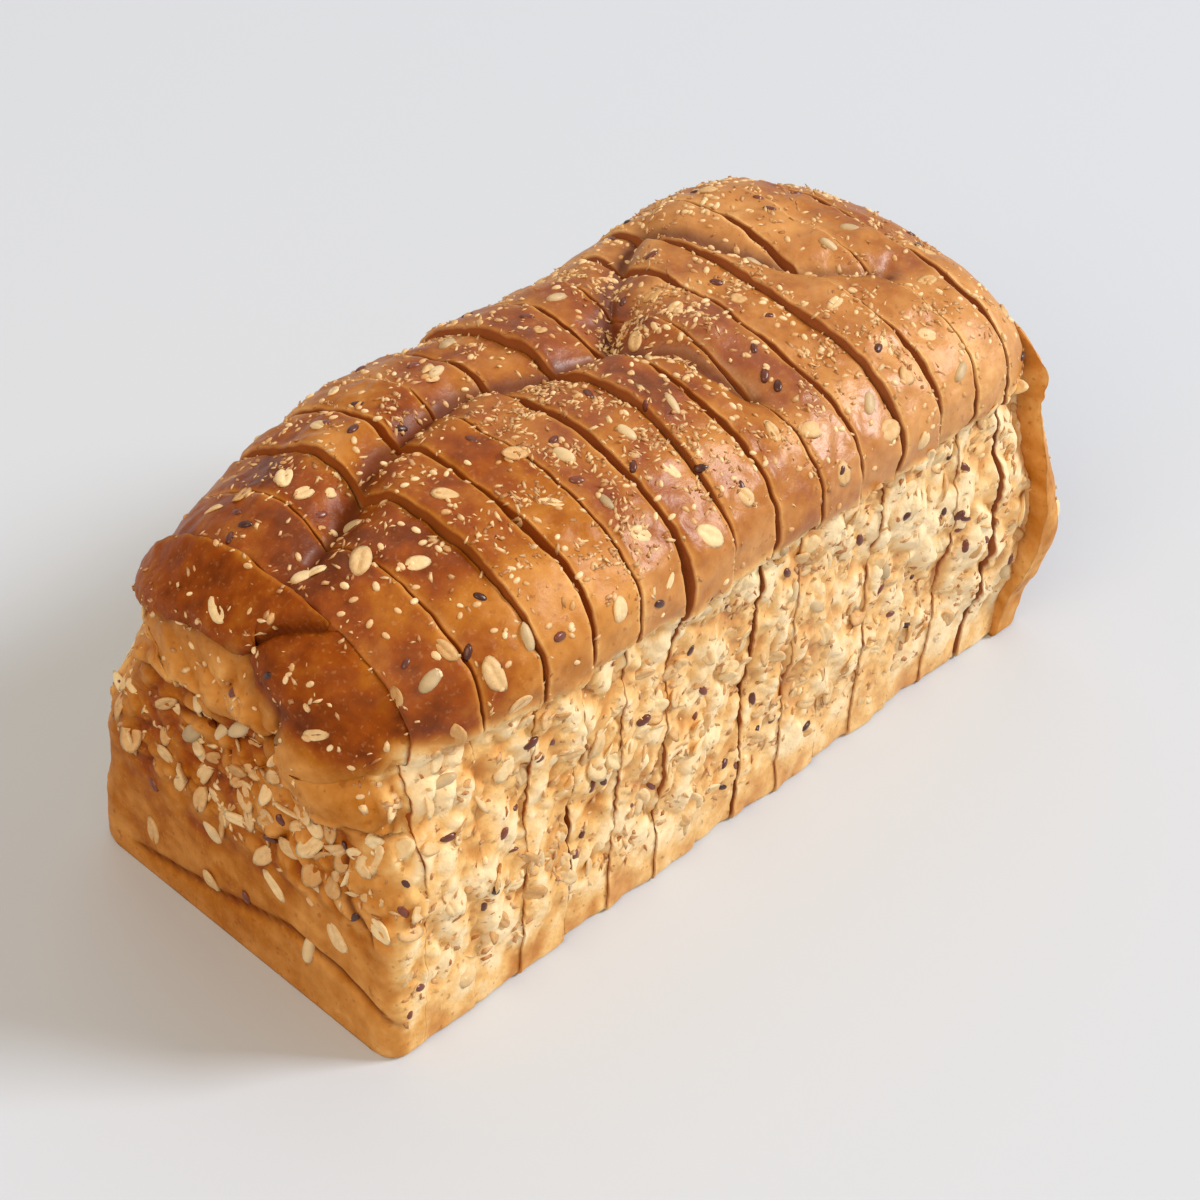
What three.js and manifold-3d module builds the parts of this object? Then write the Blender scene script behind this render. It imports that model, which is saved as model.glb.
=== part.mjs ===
// A sliced multigrain tin loaf: two heels and fourteen slices that stand together in the loaf's own shape.
// Millimetres, +Z up. The loaf stands on its flat base and runs along X, with its front heel towards -X.
import * as THREE from "three";
import { mergeVertices } from "three/addons/utils/BufferGeometryUtils.js";
import Module from "manifold-3d";

const wasm = await Module();
wasm.setup();
const { lerp, clamp, smoothstep } = THREE.MathUtils;

// Driving dimensions of the whole loaf
const HALF_WIDTH = 49; // of the base
const BASE_EDGE_RADIUS = 1.8;
const WALL_HEIGHT = 80; // where the wall goes under the lip of the dome
const WALL_WAIST = 2; // how far the wall pulls in below the lip
const LIP_HEIGHT = 86; // of the dome's widest line
const LIP_HALF_WIDTH = 50.5;
const DOME_HEIGHT = 111;
const DOME_POWER = 2.5; // of the superellipse that the dome's section follows

// Ends of the loaf: flat tin-baked faces with tight corners, under a dome that slopes down and in
const FRONT_X = -106.5;
const BACK_X = 118;
const WALL_END_REACH = 5;
const WALL_END_DROP = 5;
const FRONT_DOME_REACH = 52; // length over which the dome comes down to each end
const BACK_DOME_REACH = 45;
const DOME_END_DROP = 30;
const END_BLEND_FROM = 30; // heights between which the corner turns from the wall's form to the dome's
const END_BLEND_TO = 84;
const DROP_FROM = 60; // height above which the ends come down and a piece's own raise counts

// Lobes of dough that hang over the end faces, with a lip that is lower on the right of the front face
const FRONT_LOBE_OUT = 4.5;
const BACK_LOBE_OUT = 2.5;
const HIGH_LIP = 80;
const LOW_LIP = 50;
const LOW_LIP_SLOPE = 0.42; // the low lip climbs again towards the corner
const LIP_STEP_FROM = 2; // distances right of the loaf's middle between which the front lip comes down
const LIP_STEP_TO = 16;
const LIP_TURN = 3; // half the height over which a lobe's lip turns in

// Cuts, each a gap between two pieces; from the fourth on, every second one stands open
const SLICE_COUNT = 14;
const FIRST_CUT_X = -97;
const SLICE_PITCH = 14.55;
const THIN_GAP = 0.9;
const OPEN_GAP = 2.6;
const FIRST_OPEN_CUT = 3;
const CUT_EDGE = 2; // width of the rounded rim along a cut
const CUT_EDGE_DROP = 0.7;

// How unevenly the slices stand
const SLICE_SHIFT = 0.7;
const SLICE_RAISE = 0.9; // of the dome's top
const BACK_HEEL_SHIFT = -2.5; // the back heel has slid out sideways
const BACK_HEEL_LEAN = -0.08; // and leans out, by this share of the height
const BACK_HEEL_RAISE = -7; // and its top has sunk behind its neighbour

// Relief of the dough: swells and hollows of the dome as bells in X and Y, and folds as valleys along lines
const SWELLS = [
  { x: -14, y: -18, along: 14, across: 14, rise: 4 },
  { x: 54, y: 26, along: 26, across: 14, rise: 3 },
  { x: 24, y: -4, along: 15, across: 14, rise: 3 },
  { x: -76, y: 42, along: 30, across: 18, rise: -6.5 },
  { x: 10, y: 46, along: 38, across: 14, rise: -3 },
  { x: -74, y: 4, along: 9, across: 8, rise: -4 },
  { x: 12, y: 12, along: 10, across: 9, rise: -5 },
];
const FOLDS = [
  [[-88, -2], [-60, 9], [-30, 15], [-8, 5], [6, 3]],
  [[6, 3], [22, 20], [48, 34]],
  [[48, 34], [56, 12], [62, -4], [80, -18]],
  [[6, 3], [15, -10], [19, -28]],
];
const FOLD_DEPTH = 3.6;
const FOLD_HALF_WIDTH = 5;
const WALL_BUMP = 0.8;
const WALL_BUMP_PITCH = 58;
const BACK_SWELL = { x: 106, z: 46, along: 28, upright: 26, rise: 5 }; // the walls bulge towards the back
const RELIEF_CENTRE_Z = 45; // height of the line that the relief swells away from
const RELIEF_FROM = 8; // the walls are plain below this height
const RELIEF_TO = 24;

// Facets
const BASE_STEPS = 3;
const EDGE_STEPS = 2;
const WALL_STEPS = 5;
const LIP_STEPS = 3;
const DOME_STEPS = 11;
const HEEL_STEPS = [0, 0.3, 0.6, 0.85, 1]; // shares of the way from the cut to the end face
const FACE_RINGS = [0.88, 0.74, 0.6, 0.45, 0.28, 0.12]; // rings of an end face, as shares of its outline

// Toppings: length, width and thickness, and how many of each lie on a slice and on a heel's face
const TOPPINGS = {
  oatFlake: { size: [8.4, 6.2, 2], onSlice: 5, onFace: 9 },
  sunflowerKernel: { size: [8, 4, 2.6], onSlice: 2, onFace: 3 },
  linseed: { size: [4.8, 2.5, 1.6], onSlice: 2, onFace: 4 },
  sesameSeed: { size: [3.3, 2, 1.4], onSlice: 1, onFace: 2 },
};
const SUNK = 0.1; // share of its thickness by which a topping's middle lies under the crust
const TOPPING_CLEAR = 0.5; // from a topping to the cut beside it
const SEAT_STEP = 1; // to the neighbouring points that give the crust's slope under a topping
const TOPPING_LOWEST = 12; // height above the base where toppings start
const FACE_TOPPING_REACH = 0.82; // share of an end face's width and height that they spread over

// Evenly spread shares between 0 and 1, from steps that never repeat
const SPREAD_STEPS = [0.6180339887, 0.7548776662, 0.5698402910];
const spread = (n, k) => (0.5 + n * SPREAD_STEPS[k]) % 1;
const either = (n, k) => 2 * spread(n, k) - 1;

const CRUST = { color: 0xb9743a, roughness: 0.5, metalness: 0 };

// Half of the nominal section as [y, z] points, from the middle of the base up to the top of the dome
function halfSection() {
  const points = [];
  const wallTop = HALF_WIDTH - WALL_WAIST;
  for (let i = 0; i <= BASE_STEPS; i++) {
    points.push([((HALF_WIDTH - BASE_EDGE_RADIUS) * i) / BASE_STEPS, 0]);
  }
  for (let i = 1; i <= EDGE_STEPS; i++) {
    const turn = (Math.PI / 2) * (i / EDGE_STEPS);
    points.push([
      HALF_WIDTH - BASE_EDGE_RADIUS * (1 - Math.sin(turn)),
      BASE_EDGE_RADIUS * (1 - Math.cos(turn)),
    ]);
  }
  for (let i = 1; i <= WALL_STEPS; i++) {
    const share = i / WALL_STEPS;
    points.push([lerp(HALF_WIDTH, wallTop, share), lerp(BASE_EDGE_RADIUS, WALL_HEIGHT, share)]);
  }
  for (let i = 1; i <= LIP_STEPS; i++) {
    const turn = (Math.PI / 2) * (i / LIP_STEPS);
    points.push([
      lerp(wallTop, LIP_HALF_WIDTH, Math.sin(turn)),
      lerp(WALL_HEIGHT, LIP_HEIGHT, 1 - Math.cos(turn)),
    ]);
  }
  for (let i = 1; i <= DOME_STEPS; i++) {
    const turn = (Math.PI / 2) * (i / DOME_STEPS);
    const across = Math.max(0, Math.cos(turn)) ** (2 / DOME_POWER);
    const up = Math.sin(turn) ** (2 / DOME_POWER);
    points.push([LIP_HALF_WIDTH * across, lerp(LIP_HEIGHT, DOME_HEIGHT, up)]);
  }
  return points;
}

// The whole nominal section: from the middle of the base up the right side (-Y) and over to the left
const HALF = halfSection();
const SECTION = [
  ...HALF.map(([y, z]) => new THREE.Vector2(-y, z)),
  ...HALF.slice(1, -1).reverse().map(([y, z]) => new THREE.Vector2(y, z)),
];

// Lengths along the section up to each of its points, for spreading toppings round it
const SECTION_LENGTHS = [0];
for (let i = 1; i < SECTION.length; i++) {
  SECTION_LENGTHS.push(SECTION_LENGTHS[i - 1] + SECTION[i].distanceTo(SECTION[i - 1]));
}

function sectionAt(length) {
  let i = 1;
  while (i < SECTION.length - 1 && SECTION_LENGTHS[i] < length) {
    i++;
  }
  const share = (length - SECTION_LENGTHS[i - 1]) / (SECTION_LENGTHS[i] - SECTION_LENGTHS[i - 1]);
  return SECTION[i - 1].clone().lerp(SECTION[i], share);
}

// Share of a lobe's overhang at a place on an end face: 0 on the flat wall below its lip, 1 on the lobe above
function frontLobe(y, z) {
  const low = LOW_LIP + LOW_LIP_SLOPE * Math.max(0, -y - LIP_STEP_TO);
  const lip = lerp(HIGH_LIP, low, smoothstep(-y, LIP_STEP_FROM, LIP_STEP_TO));
  return smoothstep(z, lip - LIP_TURN, lip + LIP_TURN);
}

function backLobe(z) {
  return smoothstep(z, HIGH_LIP - LIP_TURN, HIGH_LIP + LIP_TURN);
}

const frontEnd = (y, z) => FRONT_X - FRONT_LOBE_OUT * frontLobe(y, z);
const backEnd = (y, z) => BACK_X + BACK_LOBE_OUT * backLobe(z);

// How far the section draws in at a distance from one end of the loaf
function endInset(toEnd, domeReach, z) {
  const dome = smoothstep(z, END_BLEND_FROM, END_BLEND_TO);
  const reach = lerp(WALL_END_REACH, domeReach, dome);
  const drop = lerp(WALL_END_DROP, DOME_END_DROP, dome);
  const into = clamp(1 - toEnd / reach, 0, 1);
  return drop * (1 - Math.sqrt(1 - into * into));
}

// Distance in plan from a point to a line of points
function distanceToLine(x, y, line) {
  const point = new THREE.Vector3(x, y, 0);
  const nearest = new THREE.Vector3();
  let least = Infinity;
  for (let i = 1; i < line.length; i++) {
    const stretch = new THREE.Line3(
      new THREE.Vector3(...line[i - 1], 0),
      new THREE.Vector3(...line[i], 0),
    );
    stretch.closestPointToPoint(point, true, nearest);
    least = Math.min(least, nearest.distanceTo(point));
  }
  return least;
}

function domeRelief(x, y) {
  let rise = 0;
  for (const swell of SWELLS) {
    const along = (x - swell.x) / swell.along;
    const across = (y - swell.y) / swell.across;
    rise += swell.rise * Math.exp(-(along ** 2) - across ** 2);
  }
  const fold = Math.min(...FOLDS.map((line) => distanceToLine(x, y, line)));
  return rise - FOLD_DEPTH * Math.exp(-((fold / FOLD_HALF_WIDTH) ** 2));
}

function wallRelief(x, z) {
  const turn = (2 * Math.PI) / WALL_BUMP_PITCH;
  const bump = WALL_BUMP * Math.sin(turn * (z + x));
  const along = (x - BACK_SWELL.x) / BACK_SWELL.along;
  const upright = (z - BACK_SWELL.z) / BACK_SWELL.upright;
  const swell = BACK_SWELL.rise * Math.exp(-(along ** 2) - upright ** 2);
  return (bump + swell) * smoothstep(z, RELIEF_FROM, RELIEF_TO);
}

// A point of the nominal section drawn in by an inset, swollen by the relief at x and set as its piece stands
function surfacePoint(x, nominal, inset, piece) {
  const point = new THREE.Vector3(x, nominal.x * (1 - inset / HALF_WIDTH), nominal.y);
  point.z += (piece.raise - inset) * smoothstep(nominal.y, DROP_FROM, DOME_HEIGHT);
  const dome = smoothstep(nominal.y, WALL_HEIGHT, LIP_HEIGHT);
  const swell = lerp(wallRelief(x, point.z), domeRelief(x, point.y), dome);
  const outward = new THREE.Vector3(0, point.y, point.z - RELIEF_CENTRE_Z).normalize();
  if (nominal.y > RELIEF_FROM) point.addScaledVector(outward, swell);
  point.y += piece.shift + piece.lean * point.z;
  return point;
}

// A point of a slice's outside: its rims beside the cuts are drawn in a little
function slicePoint(x, nominal, piece) {
  const toCut = Math.min(x - piece.from, piece.to - x);
  const rim = CUT_EDGE_DROP * (1 - smoothstep(toCut, 0, CUT_EDGE));
  const front = endInset(x - frontEnd(nominal.x, nominal.y), FRONT_DOME_REACH, nominal.y);
  const back = endInset(backEnd(nominal.x, nominal.y) - x, BACK_DOME_REACH, nominal.y);
  return surfacePoint(x, nominal, rim + front + back, piece);
}

// A point's y across its own piece, before the piece slid and leaned
function ownY(point, piece) {
  return point.y - piece.shift - piece.lean * point.z;
}

// A point of a heel's outside, a share of the way from its cut to its end face
function heelPoint(share, nominal, piece) {
  const rim = CUT_EDGE_DROP * (1 - smoothstep(share, 0, HEEL_STEPS[1]));
  const toEnd = Math.abs(piece.cutX - piece.end(nominal.x, nominal.y)) * (1 - share);
  const inset = rim + endInset(toEnd, piece.domeReach, nominal.y);
  const point = surfacePoint(piece.cutX, nominal, inset, piece);
  point.x = lerp(piece.cutX, piece.end(ownY(point, piece), point.z), share);
  return point;
}

function centreOf(ring) {
  const centre = ring.reduce((sum, point) => sum.add(point), new THREE.Vector3());
  return centre.divideScalar(ring.length);
}

// A closed solid through rings that follow each other along +X, with a fan over each of its ends
function solidThrough(rings) {
  const around = rings[0].length;
  const points = [...rings.flat(), centreOf(rings[0]), centreOf(rings.at(-1))];
  const firstCentre = points.length - 2;
  const lastCentre = points.length - 1;
  const lastStart = (rings.length - 1) * around;
  const triangles = [];
  for (let i = 0; i < around; i++) {
    const next = (i + 1) % around;
    triangles.push(firstCentre, i, next);
    triangles.push(lastCentre, lastStart + next, lastStart + i);
    for (let start = 0; start < lastStart; start += around) {
      const [a, b, c, d] = [start + i, start + next, start + around + next, start + around + i];
      triangles.push(a, d, c, a, c, b);
    }
  }
  return manifoldOf(points, triangles);
}

function manifoldOf(points, triangles) {
  return new wasm.Manifold(
    new wasm.Mesh({
      numProp: 3,
      vertProperties: new Float32Array(points.flatMap((point) => point.toArray())),
      triVerts: new Uint32Array(triangles),
    }),
  );
}

// A topping as a small faceted grain, its flat side along the crust at its seat
function toppingSolid({ size }, seat, turn) {
  const grain = new THREE.IcosahedronGeometry(0.5, 0);
  grain.deleteAttribute("normal");
  grain.deleteAttribute("uv");
  const merged = mergeVertices(grain.scale(...size));
  const upright = new THREE.Quaternion().setFromUnitVectors(new THREE.Vector3(0, 0, 1), seat.normal);
  const spun = new THREE.Quaternion().setFromAxisAngle(new THREE.Vector3(0, 0, 1), turn);
  merged.applyQuaternion(upright.multiply(spun));
  merged.translate(...seat.point.clone().addScaledVector(seat.normal, -SUNK * size[2]));
  const positions = merged.getAttribute("position");
  const points = [];
  for (let i = 0; i < positions.count; i++) {
    points.push(new THREE.Vector3().fromBufferAttribute(positions, i));
  }
  return manifoldOf(points, [...merged.index.array]);
}

// Fuses toppings to a solid; only the one body that holds together is kept
function fuse(solid, grains) {
  const fused = grains.reduce((whole, grain) => whole.add(grain), solid);
  return fused.decompose().reduce((most, body) => (body.volume() > most.volume() ? body : most));
}

// Lengths along the section between which toppings lie
const SEATS = SECTION_LENGTHS.filter((length, i) => SECTION[i].y > TOPPING_LOWEST);

// Where the n-th topping lies on a slice, far enough from both cuts for its length
function sliceSeat(n, size, piece) {
  const margin = size[0] / 2 + TOPPING_CLEAR;
  const x = lerp(piece.from + margin, piece.to - margin, spread(n, 2));
  const length = lerp(SEATS[0], SEATS.at(-1), spread(n, 0));
  const point = slicePoint(x, sectionAt(length), piece);
  const along = slicePoint(x + SEAT_STEP, sectionAt(length), piece).sub(point);
  const around = slicePoint(x, sectionAt(length + SEAT_STEP), piece).sub(point);
  return { point, normal: along.cross(around).normalize() };
}

// Where the n-th topping lies on a heel's end face
function faceSeat(n, outline, piece) {
  const highest = Math.max(...outline.map((point) => point.z));
  const z = lerp(TOPPING_LOWEST, FACE_TOPPING_REACH * highest, spread(n, 1));
  const above = outline.filter((point) => point.z > z);
  const halfWidth = Math.max(...above.map((point) => ownY(point, piece)));
  const y = FACE_TOPPING_REACH * halfWidth * either(n, 2);
  const x = piece.end(y, z);
  return {
    point: new THREE.Vector3(x, y + piece.shift + piece.lean * z, z),
    normal: new THREE.Vector3(Math.sign(x), 0, 0),
  };
}

let toppingCount = 0;
function toppingsFor(countName, seatOf) {
  return Object.values(TOPPINGS).flatMap((topping) =>
    Array.from({ length: topping[countName] }, () => {
      const n = toppingCount++;
      return toppingSolid(topping, seatOf(n, topping.size), Math.PI * spread(n, 1));
    }),
  );
}

function sliceSolid(piece) {
  const stations = [piece.from, piece.from + CUT_EDGE, piece.to - CUT_EDGE, piece.to];
  const rings = stations.map((x) => SECTION.map((nominal) => slicePoint(x, nominal, piece)));
  return fuse(solidThrough(rings), toppingsFor("onSlice", (n, size) => sliceSeat(n, size, piece)));
}

function heelSolid(piece) {
  const rings = HEEL_STEPS.map((share) => SECTION.map((nominal) => heelPoint(share, nominal, piece)));
  const outline = rings.at(-1);
  const centre = centreOf(outline);
  for (const share of FACE_RINGS) {
    rings.push(
      outline.map((rim) => {
        const point = centre.clone().lerp(rim, share);
        point.x = piece.end(ownY(point, piece), point.z);
        return point;
      }),
    );
  }
  if (piece.end === frontEnd) rings.reverse();
  return fuse(solidThrough(rings), toppingsFor("onFace", (n) => faceSeat(n, outline, piece)));
}

const cutX = (cut) => FIRST_CUT_X + cut * SLICE_PITCH;
const isOpen = (cut) => cut >= FIRST_OPEN_CUT && (cut - FIRST_OPEN_CUT) % 2 === 0;
const halfGap = (cut) => (isOpen(cut) ? OPEN_GAP : THIN_GAP) / 2;

function meshOf(name, solid) {
  const { vertProperties, triVerts } = solid.getMesh();
  const geometry = new THREE.BufferGeometry();
  geometry.setAttribute("position", new THREE.BufferAttribute(vertProperties, 3));
  geometry.setIndex(new THREE.BufferAttribute(triVerts, 1));
  geometry.computeVertexNormals();
  const mesh = new THREE.Mesh(geometry, new THREE.MeshStandardMaterial(CRUST));
  mesh.name = name;
  return mesh;
}

const loaf = new THREE.Group();

const frontHeel = {
  cutX: cutX(0) - halfGap(0),
  end: frontEnd,
  domeReach: FRONT_DOME_REACH,
  shift: 0,
  lean: 0,
  raise: 0,
};
loaf.add(meshOf("heel_front", heelSolid(frontHeel)));

for (let i = 1; i <= SLICE_COUNT; i++) {
  const slice = {
    from: cutX(i - 1) + halfGap(i - 1),
    to: cutX(i) - halfGap(i),
    shift: SLICE_SHIFT * either(i, 0),
    lean: 0,
    raise: SLICE_RAISE * either(i, 1),
  };
  loaf.add(meshOf(`slice_${String(i).padStart(2, "0")}`, sliceSolid(slice)));
}

const backHeel = {
  cutX: cutX(SLICE_COUNT) + halfGap(SLICE_COUNT),
  end: backEnd,
  domeReach: BACK_DOME_REACH,
  shift: BACK_HEEL_SHIFT,
  lean: BACK_HEEL_LEAN,
  raise: BACK_HEEL_RAISE,
};
loaf.add(meshOf("heel_back", heelSolid(backHeel)));

// The origin is at the bottom, in the middle of the loaf's box
const box = new THREE.Box3().setFromObject(loaf, true);
const middle = box.getCenter(new THREE.Vector3());
loaf.position.set(-middle.x, -middle.y, -box.min.z);

export default loaf;
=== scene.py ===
"""Looks of a sliced multigrain tin loaf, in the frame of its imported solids."""

import math
from types import SimpleNamespace

import bpy
import numpy as np
from mathutils import Matrix, Vector
from mathutils.bvhtree import BVHTree


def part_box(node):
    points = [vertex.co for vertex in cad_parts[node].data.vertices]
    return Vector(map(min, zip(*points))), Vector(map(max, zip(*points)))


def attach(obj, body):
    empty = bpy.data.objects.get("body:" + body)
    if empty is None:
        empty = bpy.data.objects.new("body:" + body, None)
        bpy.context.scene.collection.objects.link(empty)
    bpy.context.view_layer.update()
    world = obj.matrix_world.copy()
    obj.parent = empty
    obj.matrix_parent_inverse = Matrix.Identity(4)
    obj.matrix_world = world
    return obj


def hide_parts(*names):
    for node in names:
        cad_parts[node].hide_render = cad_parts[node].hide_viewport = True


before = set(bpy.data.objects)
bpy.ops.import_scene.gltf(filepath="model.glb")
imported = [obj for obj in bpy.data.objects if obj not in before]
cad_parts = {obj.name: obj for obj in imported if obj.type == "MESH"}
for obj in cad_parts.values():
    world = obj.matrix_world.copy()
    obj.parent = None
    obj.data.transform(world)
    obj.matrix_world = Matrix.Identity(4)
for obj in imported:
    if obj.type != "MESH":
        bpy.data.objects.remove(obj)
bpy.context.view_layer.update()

MM = 0.001
random = np.random.default_rng(14)

# Driving dimensions of the loaf in millimetres
HALF_WIDTH = 49
BASE_EDGE_RADIUS = 1.8
WALL_HEIGHT = 80
WALL_WAIST = 2
LIP_HEIGHT = 86
LIP_HALF_WIDTH = 50.5
DOME_HEIGHT = 111
DOME_POWER = 2.5

# Ends of the loaf
FRONT_X = -106.5
BACK_X = 118
WALL_END_REACH = 5
WALL_END_DROP = 5
FRONT_DOME_REACH = 52
BACK_DOME_REACH = 45
DOME_END_DROP = 30
END_BLEND_FROM = 30
END_BLEND_TO = 84
DROP_FROM = 60
FRONT_LOBE_OUT = 4.5
BACK_LOBE_OUT = 2.5
BACK_LIP = 80

# Lips of the front heel's folds of dough, as lines of (y, z) from left to right
LAYER_LIP = [(60, 60), (40, 63), (27.6, 65.8), (16.3, 69.3), (8.4, 68), (0, 68.2), (-10, 71), (-14, 74)]
LOBE_LIP = [
    (3, 93), (-2.9, 89.9), (-8.5, 84.1), (-11.9, 83), (-13.7, 78.2), (-14.6, 72.4),
    (-16, 66.3), (-21.8, 62), (-27.8, 61), (-34, 62), (-38.3, 60), (-44.4, 60), (-60, 66),
]
FLAP_LIP = [
    (60, 72), (28, 81.8), (17.1, 86), (10.5, 88.5), (2.9, 89), (-2.9, 89.9),
    (-5.3, 93.5), (-7.8, 96.4), (-12.7, 98.8), (-18, 101.5), (-24, 106),
]
# The folds from the lowest to the topmost: lip, how far it stands out, and the share of that at the first cut
FRONT_FOLDS = [(LAYER_LIP, 0.7, 0), (LOBE_LIP, 1.7, 0), (FLAP_LIP, 2.4, 1)]
LAYER_OUT = 1.2
LOBE_TAN_HEIGHT = 85.8  # of the line under which the lobe is tan, at the loaf's middle
LOBE_TAN_SLOPE = 0.22  # how that line rises to the left
LIP_TURN = 0.7  # half of the width over which a lip turns out
LOBE_ROUND = 8  # distances from their lips over which the lobe and the flap round off
FLAP_ROUND = 2.5
LIP_RAGGED = 0.8  # how far a lip strays from its line
LIP_RAGGED_PITCH = 4
LIP_ROLL = 0.9  # extra bulge along a lip
LIP_ROLL_HALF_WIDTH = 2.5
LIP_CREASE = 1.4  # depth of the crease under a lip
LIP_CREASE_HALF_WIDTH = 0.75
LIP_SHADE = 0.18  # strength of the wider painted shade under a lip, against the crease's painted shade
LIP_SHADE_HALF_WIDTH = 3
BACK_LIP_TURN = 3

# Cuts
SLICE_COUNT = 14
FIRST_CUT_X = -97
SLICE_PITCH = 14.55
SOLID_GAP = 0.9  # of a thin cut in the solids
THIN_GAP = 1.2
OPEN_GAP = 3.1
GAP_MEAN = 0.85  # share of its width that a cut has on average, and how far that varies
GAP_VARIES = 0.5
GAP_PITCH = 21
CUT_NOISE_STEP = 37.0  # from one cut to the next, so that no two are alike
FIRST_OPEN_CUT = 3
CUT_EDGE = 1
CUT_EDGE_DROP = 0.35
PALE_RIM = 0.2  # browning lost at the edge of a cut over the dome
PALE_RIM_HALF_WIDTH = 0.7
HEEL_RIM_HALF_WIDTH = 1.2
FACE_PALING_AND_RECESS_SHADE = 0.12  # browning lost for each millimetre of an end face's relief: paler raised dough, and painted shade in its recesses
CRAG_PALING_AND_RECESS_SHADE = 0.22  # and for each millimetre that a wall's crag stands out: paler raised crust, and painted shade in the recesses
SHUT_BELOW = 70  # heights between which a cut opens from the walls to the dome
OPEN_ABOVE = 92
SHUT_SHARE = 0.06  # of its width that a cut keeps between the walls
WALL_CUTS = {3: 0.5, 7: 0.35, 9: 0.5, 11: 0.25, 13: 0.4}  # shares of the cuts that show on the walls too
SLICE_SHIFT = 0.9  # how far slices stand to the side and up at most
SLICE_RAISE = 1.4
BACK_HEEL_SHIFT = -2.5
BACK_HEEL_LEAN = -0.08
BACK_HEEL_RAISE = -7

# Relief: bells of the dome as (x, y, half length, half width, rise) and folds as lines of (x, y)
SWELLS = [
    (-14, -18, 14, 14, 4),
    (54, 26, 26, 14, 3),
    (24, -4, 15, 14, 3),
    (-76, 42, 30, 18, -6.5),
    (10, 46, 38, 14, -3),
    (-74, 4, 9, 8, -4),
    (12, 12, 10, 9, -5),
]
FOLDS = [
    [(-88, -2), (-60, 9), (-30, 15), (-8, 5), (6, 3)],
    [(6, 3), (22, 20), (48, 34)],
    [(48, 34), (56, 12), (62, -4), (80, -18)],
    [(6, 3), (15, -10), (19, -28)],
]
FOLD_DEPTH = 3.6
FOLD_HALF_WIDTH = 5
CREASE_DEPTH = 1.3  # of the tight crease at the bottom of a fold
CREASE_HALF_WIDTH = 1.3
# half width of the painted shade along the dome's folds
FOLD_PAINTED_SHADE_HALF_WIDTH = 2.2
WALL_BUMP = 0.8
WALL_BUMP_PITCH = 58
BACK_SWELL = SimpleNamespace(x=106, z=46, along=28, upright=26, rise=5)
FILLED = 0.985  # share of the straight side's width to which the back heel is filled under its lip
FILLED_FROM = 45  # height from which it widens to the lip
RELIEF_CENTRE_Z = 45
RELIEF_FROM = 8
RELIEF_TO = 24

# Noises that roughen the loaf, each as (height, pitch, salt)
CUT_STRAY = [(0.5, 13, 5), (0.28, 4.5, 9), (0.14, 1.8, 10)]
BLISTERS = [(0.45, 7, 1), (0.3, 3, 2), (0.1, 1.6, 3)]
CREST_BLISTERS = [(0.25, 7, 1)]  # added along the dome's crest
CRAGS = [(2.4, 9, 4), (1.8, 4.2, 6)]
FINE_CRAGS = [(0.9, 2.3, 7)]
CRAG_STRETCH = (1, 1, 0.6)  # makes crags taller than wide
CRAG_SINK = 1.6
FOOT_CRAGS = 0.25  # share of the crags left at the foot
FACE_CRAGS = [(2.6, 6.5, 18), (1.1, 2.8, 19)]
FACE_CRAG_SINK = 0.9
SMOOTH_FACE_LESS = 0.6  # share of these that a smooth heel lacks
FACE_WAVES = [(0.4, 9, 20), (0.16, 3.2, 21)]
FACE_CREASE_DEPTH = 1.2
FACE_CREASE_HALF_WIDTH = 1.3
CRUMB_ROUGHNESS = [(0.3, 2.2, 23)]
CREST = (96, 108)  # heights between which the dome's crest begins
ROUGH_BAND = (27, 37)  # heights between which an end face's rough band begins
FACE_DOME = (70, 84)  # heights between which an end face turns into dome
FOLDED_OUT = (0.2, 1.0)  # how far dough stands out where it counts as folded
HEEL_FOOT = (0.3, 6)  # heights between which a heel's relief begins
CRUMB_FROM = (0.5, 3)  # distances from the crust between which the crumb gets rough
BACK_CUT_CRUST = (6, 10)  # and those between which the back heel's cut turns from crust to crumb

# Browning of the crust from pale 0 to dark 1, with some painted shade and sheen; a pair of places is where a
# change begins and where it ends
DOME_BROWN = 0.81
DOME_BLOTCHES = [(0.12, 17, 12), (0.08, 5, 13)]  # noises as above
# painted shade: the dome darker toward its front, which faces away from the light
FRONT_PAINTED_SHADE = 0.05
FRONT_STRETCH = (-45, -95)
# painted sheen: the dome paler toward its back
BACK_PAINTED_SHEEN = 0.13
BACK_STRETCH = (0, 70)
# partly paler crust and partly painted sheen on the dome's shoulders
SHOULDER_PALER_AND_PAINTED_SHEEN = 0.14
SHOULDER_STRETCH = (-92, -58)
SHOULDER_OUT = (20, 46)
CREST_BROWNER = 0.03
CREST_BLOTCHES = [(0.13, 8, 48)]
CREST_BROWN_HEIGHTS = (94, 106)
WALL_BROWN = 0.17
WALL_BLOTCHES = [(0.14, 13, 14)]
WALL_STREAKS = [(0.2, 4, 15)]
FOOT_BROWNER = 0.2
FOOT_HEIGHTS = (16, 1)
CORNER_BROWNER = 0.22
CORNER_STRETCH = (-94, -106)
DOME_EDGE_STRAY = [(1.6, 6, 11)]  # of the line between dome and wall
PANEL_BROWN = (0.66, 0.8)  # at the foot of the front heel's panel and above it
PANEL_HEIGHTS = (10, 40)
PANEL_PALER_RIGHT = 0.16
PANEL_RIGHT = (10, -40)
LAYER_BROWN = 0.59
LOBE_BROWN = (0.63, 0.94)  # under and over the tan line
TAN_EDGE = (-5, 4)
FLAP_BROWN = 0.88
BACK_PANEL_BROWN = (0.6, 0.68)
BACK_PANEL_HEIGHTS = (24, 40)
BACK_LOBE_BROWN = 0.8
BACK_SIDE_BROWN = 0.52
FACE_BLOTCHES = [(0.1, 10, 16), (0.1, 3.5, 17)]

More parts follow.
